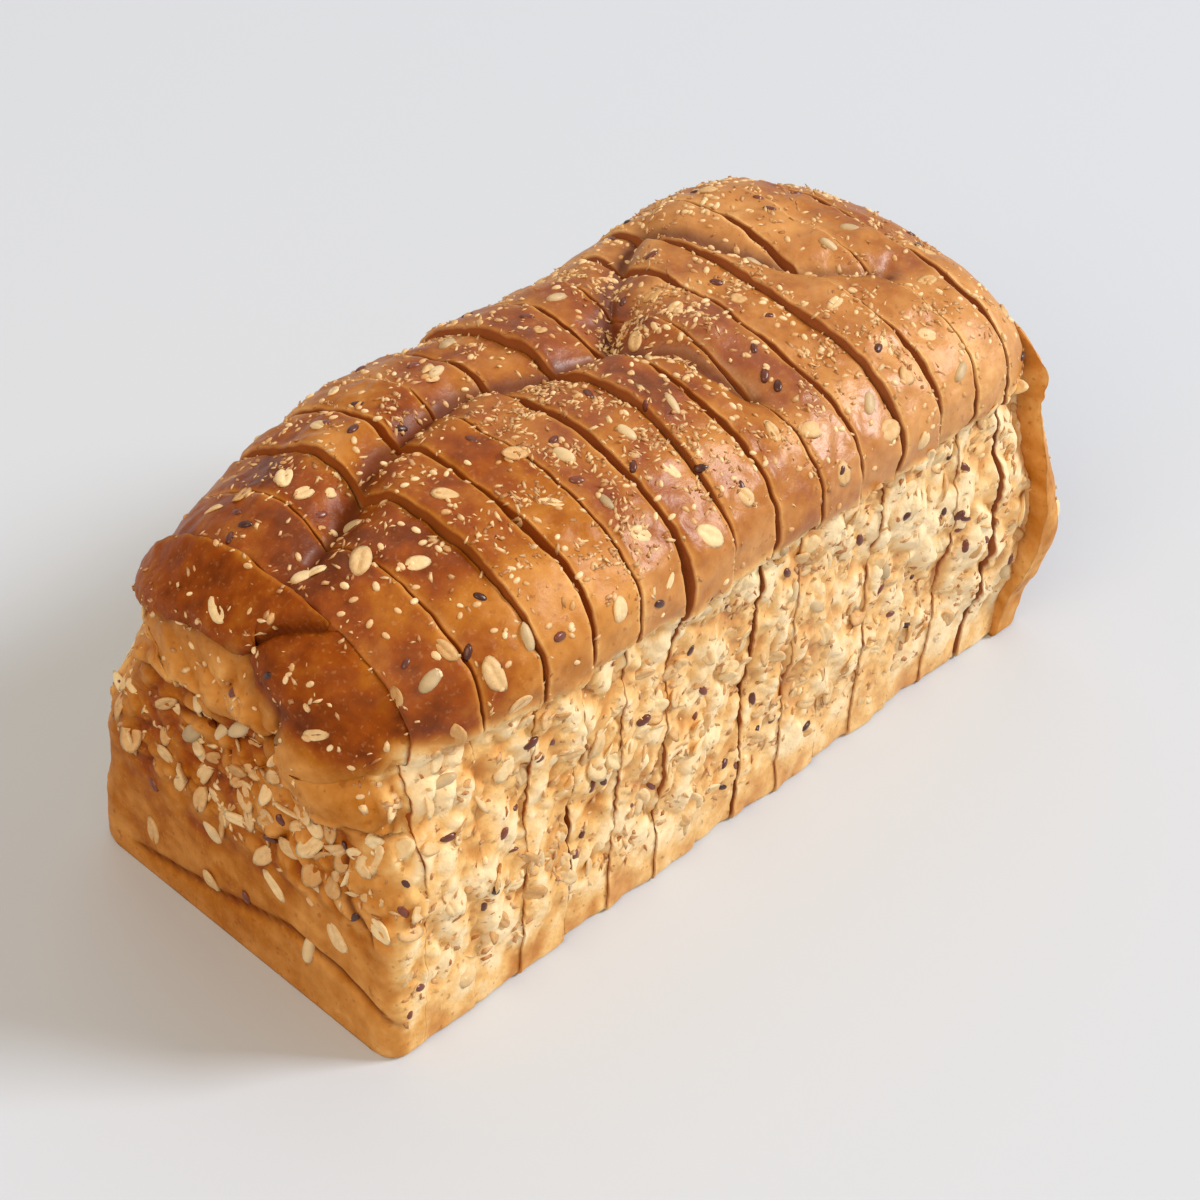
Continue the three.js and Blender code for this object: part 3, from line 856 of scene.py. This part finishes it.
SLICE_SHINE = [(4, 0.28), (8, 0.6), (SLICE_COUNT, 0.85)]  # last slice and shine of each stretch of the loaf
HEEL_SHINE = 0.1
PALE_MOTTLING = 0.46
BROWN_MOTTLING = 0.26
CRUST_COLOURS = [  # by browning
    (0.0, (250, 226, 182)),
    (0.25, (238, 193, 125)),
    (0.5, (210, 148, 76)),
    (0.72, (176, 107, 27)),
    (0.88, (146, 70, 10)),
    (1.0, (112, 50, 6)),
]
CRUMB_COLOURS_AND_GAP_SHADE = [  # on a cut, from the crust inward: the crust's brown edge, then darker orange near it as painted shade in the gaps between slices, then crumb
    (0.0, (146, 74, 20)),
    (0.4, (168, 92, 30)),
    (0.7, (212, 156, 90)),
    (1.0, (228, 190, 134)),
]
CRUMB_DEPTH = 9.0  # from the crust to the last of these colours
SPECK_COLOUR = (140, 76, 28)
FLECK_COLOUR = (226, 176, 122)
# painted shade: the dark colour laid into folds, creases and under lips
PAINTED_SHADE_COLOUR = (92, 38, 8)


def bread_look(name, specular):
    """Crust by its browning, with specks, flecks and painted shade in creases, and crumb on the cuts."""
    look = Look(name)
    # how brown the crust is, with painted shade and sheen in it
    browned_and_painted_light = look.value("browning_and_painted_light")
    mottling = look.between(browned_and_painted_light, 0.3, 0.6, PALE_MOTTLING, BROWN_MOTTLING)
    mottle = look.math("MULTIPLY", look.math("SUBTRACT", look.noise(2.6, 6.0), 0.5), mottling)
    outside = look.ramp(look.math("ADD", browned_and_painted_light, mottle), CRUST_COLOURS)
    specks = look.between(look.noise(1.8, 2.0), 0.63, 0.73, 0.0, 0.5)
    outside = look.mix(specks, outside, linear(*SPECK_COLOUR))
    on_brown = look.between(browned_and_painted_light, 0.5, 0.7, 0.0, 0.16)
    flecks = look.math("MULTIPLY", look.between(look.noise(1.1, 2.0), 0.6, 0.72), on_brown)
    outside = look.mix(flecks, outside, linear(*FLECK_COLOUR))
    # painted shade darkens folds, creases and the undersides of lips, and makes them rougher
    painted_shade = look.math("MULTIPLY", look.value("painted_shade"), 0.85)
    outside = look.mix(painted_shade, outside, linear(*PAINTED_SHADE_COLOUR))
    # crumb colour on the cuts, darker near the crust as painted shade in the gaps
    crumb = look.ramp(look.between(look.value("inward"), 0.0, CRUMB_DEPTH), CRUMB_COLOURS_AND_GAP_SHADE)
    colour = look.mix(look.value("cut"), outside, crumb)
    shine = look.between(browned_and_painted_light, 0.25, 0.6, 0.75, 0.42)
    dull = look.math("MULTIPLY", look.math("MAXIMUM", look.value("cut"), look.value("painted_shade")), 0.85)
    roughness = look.math("MAXIMUM", shine, dull)
    grain = look.math("MULTIPLY", look.noise(0.9, 3.0), look.between(browned_and_painted_light, 0.3, 0.6, 1.0, 0.45))
    look.bump(grain, 0.3, 0.8)
    return look.finish(colour, roughness, specular)


def topping_look(name, pale, dark, pitch_mm, roughness, bump_mm):
    """A grain's colours, from its own tone and a fine streak."""
    look = Look(name)
    streak = look.math("MULTIPLY", look.math("SUBTRACT", look.noise(pitch_mm, 3.0), 0.5), 0.9)
    colour = look.ramp(look.math("ADD", look.value("tone"), streak), [(0.0, pale), (1.0, dark)])
    look.bump(look.noise(pitch_mm * 0.6, 2.0), bump_mm)
    return look.finish(colour, roughness)


heel_material = bread_look("heel of bread", HEEL_SHINE)
for heel in (front_heel, back_heel):
    heel.data.materials.append(heel_material)
done = 0
for last, shine in SLICE_SHINE:
    slice_material = bread_look(f"bread to slice {last}", shine)
    for made, piece in slices[done:last]:
        made.data.materials.append(slice_material)
    done = last


# Toppings: base forms of unit length, width and thickness, flat side along the crust
def lens_form(rings, around, blunt, outline, crease):
    """A closed flat form: rings of a disc over and under its middle plane, with a groove along its top."""
    turn = np.linspace(0, 2 * math.pi, around, endpoint=False)
    shares = np.linspace(0, 1, rings + 1)[1:]
    level = np.concatenate([shares, shares[:-1][::-1]])
    side = np.concatenate([np.ones(rings), -np.ones(rings - 1)])
    height = 0.5 * side * (1 - level**2) ** blunt
    radius = 0.5 * level[:, None] * outline(turn)
    heights = np.broadcast_to(height[:, None], radius.shape)
    points = np.stack([radius * np.cos(turn), radius * np.sin(turn), heights], -1)
    points = np.concatenate([points.reshape(-1, 3), [[0, 0, 0.5], [0, 0, -0.5]]])
    points[:, 2] -= crease * bell(points[:, 1], 0.1) * (points[:, 2] > 0)
    triangles = []
    for face in ring_faces(len(level), around):
        triangles += [[face[0], face[k], face[k + 1]] for k in range(1, len(face) - 1)]
    return points, np.array(triangles)


def oval(turn):
    return np.ones_like(turn)


def teardrop(turn):
    return 1 - 0.22 * np.cos(turn) * (1 + 0.5 * np.cos(turn))


FORMS = {
    "oat_flakes": lens_form(4, 18, 0.3, oval, 0.25),
    "sunflower_kernels": lens_form(5, 14, 0.5, teardrop, 0),
    "linseed": lens_form(4, 12, 0.5, teardrop, 0),
    "sesame": lens_form(3, 9, 0.5, teardrop, 0),
    "bran": lens_form(1, 5, 0.5, oval, 0),
}

# Where the camera stands in the loaf's own frame
CAMERA = SimpleNamespace(azimuth=-50.764, elevation=39.921, roll=5.795, distance=661.02, focal=2817.1)
CAMERA_TARGET = np.array([0, -5.76, 44.39])
PHOTO_SIZE = 1200


def camera_axes():
    """The camera's right, up and back directions."""
    azimuth = math.radians(CAMERA.azimuth)
    elevation = math.radians(CAMERA.elevation)
    roll = math.radians(CAMERA.roll)
    reach = math.cos(elevation)
    back = np.array([math.sin(azimuth) * reach, -math.cos(azimuth) * reach, math.sin(elevation)])
    level = np.cross(-back, (0, 0, 1))
    level /= np.linalg.norm(level)
    over = np.cross(level, -back)
    right = level * math.cos(roll) + over * math.sin(roll)
    up = -level * math.sin(roll) + over * math.cos(roll)
    return right, up, back


RIGHT, UP, BACK = camera_axes()
EYE = CAMERA_TARGET + BACK * CAMERA.distance


# Seats: a point on the bread with its outward direction
def tree_of(objects):
    points = []
    faces = []
    for made in objects:
        first = len(points)
        points += [vertex.co.copy() for vertex in made.data.vertices]
        faces += [[first + k for k in polygon.vertices] for polygon in made.data.polygons]
    return BVHTree.FromPolygons(points, faces)


bread_tree = tree_of(bread)


def seat_along(start, direction):
    """Where a line meets the bread, in the loaf's own millimetres, or None."""
    spot, normal, _, _ = bread_tree.ray_cast(Vector(to_frame(start)), Vector(direction))
    if spot is None:
        return None
    return np.array(spot) / MM - OFFSET, np.array(normal)


def seat_under(point, outward, reach=6):
    return seat_along(point + outward * reach, -outward)


def seat_at_pixel(pixel_x, pixel_y):
    half = PHOTO_SIZE / 2
    direction = -BACK + RIGHT * (pixel_x - half) / CAMERA.focal - UP * (pixel_y - half) / CAMERA.focal
    return seat_along(EYE, direction / np.linalg.norm(direction))


RING_LENGTHS = lengths_along(RING)
SEAT_LENGTHS = RING_LENGTHS[RING[:, 1] > TOPPING_LOWEST]


def slice_seat(n, size, piece):
    """The seat of the n-th topping on a slice, by the same rule as in the solids."""
    margin = size[0] / 2 + TOPPING_CLEAR
    x = lerp(piece.start + margin, piece.stop - margin, spread(n, 2))
    length = lerp(SEAT_LENGTHS[0], SEAT_LENGTHS[-1], spread(n, 0))
    step = 1.0
    here = along(RING, np.array([length, length + step]))
    point = slice_outside(np.array(x), here[0, 0], here[0, 1], piece)
    lengthwise = slice_outside(np.array(x + step), here[0, 0], here[0, 1], piece) - point
    around = slice_outside(np.array(x), here[1, 0], here[1, 1], piece) - point
    normal = np.cross(lengthwise, around)
    return seat_under(point, normal / np.linalg.norm(normal))


def face_seat(n, piece):
    outline = heel_outside(np.ones(len(RING)), RING[:, 0], RING[:, 1], piece)
    z = lerp(TOPPING_LOWEST, FACE_TOPPING_REACH * outline[:, 2].max(), spread(n, 1))
    half_width = own_y(outline[outline[:, 2] > z], piece).max()
    y = FACE_TOPPING_REACH * half_width * either(n, 2)
    x = piece.end(np.array(y), np.array(z))
    point = np.array([x, y + piece.shift + piece.lean * z, z])
    return seat_under(point, np.array([np.sign(x), 0, 0]))


seats = {kind: [] for kind in TOPPINGS}


def add_seat(kind, seat, turn, scale=1.0, sunk=0.1):
    if seat is not None:
        seats[kind].append((seat[0], seat[1], turn, scale, sunk))


def ruled_seats():
    """Seats of the toppings that the solids have too, counted in the same order."""
    count = 0
    for piece in [front_piece, *[piece for made, piece in slices], back_piece]:
        is_heel = piece in (front_piece, back_piece)
        for kind, topping in TOPPINGS.items():
            for _ in range(topping.on_face if is_heel else topping.on_slice):
                seat = face_seat(count, piece) if is_heel else slice_seat(count, topping.size, piece)
                scale = 1.0 if is_heel else topping.slice_scale
                add_seat(kind, seat, math.pi * spread(count, 1), scale)
                count += 1


ruled_seats()

# Toppings that stand out in the photo, by where their middle shows in it
PHOTO_TOPPINGS = {
    "oat_flakes": [
        (218, 608), (360, 560), (243, 493), (285, 475), (515, 452), (515, 523), (675, 308), (812, 430),
        (710, 535), (395, 700), (890, 430), (252, 740), (315, 735), (130, 735), (165, 755), (180, 780),
        (200, 800), (225, 815), (265, 820), (265, 855), (300, 825), (310, 845), (335, 850), (315, 870),
        (370, 860), (400, 850), (445, 650), (520, 775), (505, 770), (620, 610), (700, 745), (725, 678),
        (640, 800), (530, 860), (800, 560), (495, 675),
    ],
    "sunflower_kernels": [
        (605, 500), (530, 640), (435, 372), (440, 783), (625, 430), (197, 703), (222, 730), (242, 727),
        (300, 577),
    ],
    "sesame": [
        (285, 681), (311, 684), (340, 614), (369, 625), (385, 635), (397, 610), (415, 587), (402, 567),
        (379, 784), (359, 797), (450, 752), (435, 655), (249, 612), (270, 620), (446, 548), (381, 547),
        (437, 672), (352, 600),
    ],
    "linseed": [
        (268, 675), (233, 692), (405, 883), (402, 910), (700, 468), (742, 488), (467, 655), (405, 665),
        (645, 408), (320, 515), (575, 480), (575, 855), (530, 745), (650, 785), (495, 890), (735, 765),
        (752, 700), (695, 715), (960, 515), (905, 625), (880, 590),
    ],
}
for kind, pixels in PHOTO_TOPPINGS.items():
    for pixel in pixels:
        add_seat(kind, seat_at_pixel(*pixel), random.uniform(0, math.pi), random.uniform(0.7, 1.0), 0.15)


def of_faces(key, width):
    """What Blender knows under a key for each small face of the bread, as rows of a width."""
    columns = []
    for made in bread:
        column = np.empty(len(made.data.polygons) * width)
        made.data.polygons.foreach_get(key, column)
        columns.append(column)
    return np.concatenate(columns).reshape(-1, width)


MIDDLES = of_faces("center", 3) / MM - OFFSET
NORMALS = of_faces("normal", 3)
AREAS = of_faces("area", 1)[:, 0]


# Heights between which the regions of scattered toppings begin and end
DOME_BEGINS = (80, 88)
WALL_BEGINS = (6, 20)
WALL_ENDS = (80, 86)
BAND_BEGINS = (30, 38)
BAND_ENDS = (55, 66)
LOBE_BEGINS = (60, 72)
END_DEPTH = 3  # of what counts as an end face
STREWN_STRETCH = (-80, -30)  # along the loaf, where sesame and bran on the dome get thick


def regions():
    """Shares by which each small face is on the dome, a wall, or an end face's rough band or lobe."""
    x, y, z = MIDDLES.T
    nearest = np.clip(np.round((x - FIRST_CUT_X) / SLICE_PITCH), 0, SLICE_COUNT)
    near_cut = np.abs(x - FIRST_CUT_X - nearest * SLICE_PITCH)
    is_front = (x < FRONT_X + END_DEPTH) & (NORMALS[:, 0] < -0.4)
    is_back = (x > BACK_X - END_DEPTH) & (NORMALS[:, 0] > 0.4)
    is_side = (np.abs(NORMALS[:, 0]) < 0.6) & ~is_front & ~is_back
    dome = is_side * smoothstep(z, *DOME_BEGINS) * (NORMALS[:, 2] > 0)
    wall = is_side * smoothstep(z, *WALL_BEGINS) * (1 - smoothstep(z, *WALL_ENDS))
    wall = wall * (np.abs(NORMALS[:, 1]) > 0.4)
    band = (is_front | is_back) * smoothstep(z, *BAND_BEGINS) * (1 - smoothstep(z, *BAND_ENDS))
    lobe = (is_front | is_back) * smoothstep(z, *LOBE_BEGINS)
    return SimpleNamespace(dome=dome, wall=wall, band=band, lobe=lobe, near_cut=near_cut)


ON = regions()


def clusters(pitch, salt, least):
    return least + np.maximum(0, noise(MIDDLES, pitch, salt)) * 2


def scatter(kind, count, density, clear, sizes, sunk, tilt):
    """Random seats by density on the bread, clear of the cuts; sizes and sunk are shares of a kind's own."""
    weights = AREAS * density * (ON.near_cut > clear)
    for k in random.choice(len(weights), count, p=weights / weights.sum()):
        normal = NORMALS[k] + tilt * random.normal(size=3)
        seat = (MIDDLES[k], normal / np.linalg.norm(normal))
        add_seat(kind, seat, random.uniform(0, math.pi), random.uniform(*sizes), sunk)


# Densities of the scattered toppings: low on the walls and end faces, high on the dome
crest = smoothstep(MIDDLES[:, 2], *CREST_BROWN_HEIGHTS)
strewn = ON.dome * lerp(0.3, 1, smoothstep(MIDDLES[:, 0], *STREWN_STRETCH))
clear_of_back_heel = MIDDLES[:, 0] < cut_x(SLICE_COUNT)
on_wall = ON.wall * clear_of_back_heel

oats_low = on_wall * clusters(16, 41, 0.5) + ON.band * 1.6
oats_high = ON.dome * clusters(20, 42, 0.1)
linseed_low = on_wall * clusters(14, 43, 0.2) + ON.band * 0.4
linseed_high = ON.dome * clusters(12, 44, 0.02)
kernels = on_wall + ON.dome * 0.2
sesame_high = strewn * (0.3 + crest) * clusters(9, 45, 0.2) + ON.lobe * 0.2
bran_high = strewn * (0.1 + crest) * clusters(8, 46, 0.1) + ON.lobe * 0.1
bran_low = on_wall + ON.band * 0.6 + ON.lobe * 0.1
bran_at_cuts = ON.dome * bell(ON.near_cut - 1.2, 0.6)
scatter("oat_flakes", 420, oats_low, clear=1.5, sizes=(0.5, 0.95), sunk=0.25, tilt=0.2)
scatter("oat_flakes", 10, oats_high, clear=3.0, sizes=(0.4, 0.8), sunk=0.1, tilt=0.08)
scatter("linseed", 85, linseed_low, clear=1.5, sizes=(0.7, 0.95), sunk=0.2, tilt=0.15)
scatter("linseed", 30, linseed_high, clear=1.5, sizes=(0.75, 0.95), sunk=0.1, tilt=0.1)
scatter("sunflower_kernels", 14, kernels, clear=2.5, sizes=(0.6, 0.85), sunk=0.15, tilt=0.1)
scatter("sesame", 600, sesame_high, clear=0.9, sizes=(0.55, 0.85), sunk=0.05, tilt=0.12)
scatter("sesame", 140, on_wall, clear=0.9, sizes=(0.6, 0.8), sunk=0.1, tilt=0.15)
scatter("bran", 3000, bran_high, clear=0.4, sizes=(0.5, 1.5), sunk=0.0, tilt=0.35)
scatter("bran", 1900, bran_low, clear=0.5, sizes=(0.6, 2.0), sunk=0.0, tilt=0.35)
scatter("bran", 700, bran_at_cuts, clear=0.4, sizes=(0.4, 1.2), sunk=0.0, tilt=0.4)


def seat_axes(normal, turn):
    """Along, across and outward directions of a seat, as rows."""
    helper = np.array([1.0, 0, 0]) if abs(normal[0]) < 0.8 else np.array([0, 1.0, 0])
    first = np.cross(normal, helper)
    first /= np.linalg.norm(first)
    second = np.cross(normal, first)
    lengthwise = first * math.cos(turn) + second * math.sin(turn)
    return np.stack([lengthwise, np.cross(normal, lengthwise), normal])


def topping_mesh(kind):
    topping = TOPPINGS[kind]
    size = np.array(topping.size)
    form, faces = FORMS[kind]
    points = []
    tones = []
    for spot, normal, turn, scale, sunk in seats[kind]:
        wobble = 1 + topping.uneven * noise(form * 2.2 + 50 * random.random(3), 1, 31)
        bent = form * wobble[:, None]
        bent[:, 2] += topping.curl * random.normal() * (bent[:, 0] ** 2 - 0.1)
        narrow = (1, random.uniform(topping.narrowest, 1), 1)
        placed = (bent * size * narrow * scale) @ seat_axes(normal, turn) + spot - normal * sunk * size[2]
        points.append(placed)
        tones.append(np.full(len(form), random.random()))
    starts = np.arange(len(points)) * len(form)
    all_faces = (starts[:, None, None] + faces).reshape(-1, 3).tolist()
    made = add_mesh(kind, np.concatenate(points), all_faces, {"tone": np.concatenate(tones)})
    return made


TOPPING_LOOKS = {
    "oat_flakes": topping_look("oat", (242, 218, 170), (202, 152, 90), 1.6, 0.6, 0.2),
    "sunflower_kernels": topping_look("sunflower kernel", (224, 200, 156), (172, 148, 112), 2.5, 0.5, 0.1),
    "linseed": topping_look("linseed", (124, 66, 50), (58, 28, 24), 2.0, 0.3, 0.03),
    "sesame": topping_look("sesame", (246, 222, 176), (206, 156, 96), 1.2, 0.45, 0.05),
    "bran": topping_look("bran", (240, 208, 156), (176, 116, 62), 1.0, 0.6, 0.1),
}
for kind, material in TOPPING_LOOKS.items():
    topping_mesh(kind).data.materials.append(material)


# Stage, light and camera, in metres
FLOOR_SIZE = 20
FLOOR_COLOUR = (203, 213, 229)
LIGHTS_AIM = (0, 0, 0.05)
SENSOR_WIDTH = 36  # millimetres
WORLD_COLOUR = (1.0, 0.91, 0.77, 1)
WORLD_STRENGTH = 0.46


def add_floor():
    bpy.ops.mesh.primitive_plane_add(size=FLOOR_SIZE)
    floor = bpy.context.object
    floor.name = "floor"
    look = Look("table")
    floor.data.materials.append(look.finish(linear(*FLOOR_COLOUR), 0.9))


def add_light(name, place, size, watts, colour):
    lamp = bpy.data.lights.new(name, "AREA")
    lamp.size = size
    lamp.energy = watts
    lamp.color = colour
    made = bpy.data.objects.new(name, lamp)
    made.location = place
    made.rotation_euler = (Vector(LIGHTS_AIM) - Vector(place)).to_track_quat("-Z", "Y").to_euler()
    bpy.context.collection.objects.link(made)


def add_camera():
    lens = bpy.data.cameras.new("camera")
    lens.sensor_width = SENSOR_WIDTH
    lens.lens = CAMERA.focal / PHOTO_SIZE * SENSOR_WIDTH
    made = bpy.data.objects.new("camera", lens)
    turned = Matrix(np.stack([RIGHT, UP, BACK], -1).tolist()).to_4x4()
    made.matrix_world = Matrix.Translation(Vector(to_frame(EYE))) @ turned
    bpy.context.collection.objects.link(made)
    bpy.context.scene.camera = made


add_floor()
add_light("window", (3.2, -2.6, 3.2), size=1.4, watts=212, colour=(1.0, 0.985, 0.965))
add_light("sky", (0.6, 0.9, 1.5), size=1.2, watts=3, colour=(1.0, 0.97, 0.94))
add_light("room", (-1.5, -0.5, 1.6), size=1.4, watts=22, colour=(1.0, 0.74, 0.46))
add_camera()

world = bpy.data.worlds.new("studio")
world.use_nodes = True
background = world.node_tree.nodes["Background"]
background.inputs["Color"].default_value = WORLD_COLOUR
background.inputs["Strength"].default_value = WORLD_STRENGTH
bpy.context.scene.world = world
bpy.context.scene.view_settings.view_transform = "Standard"
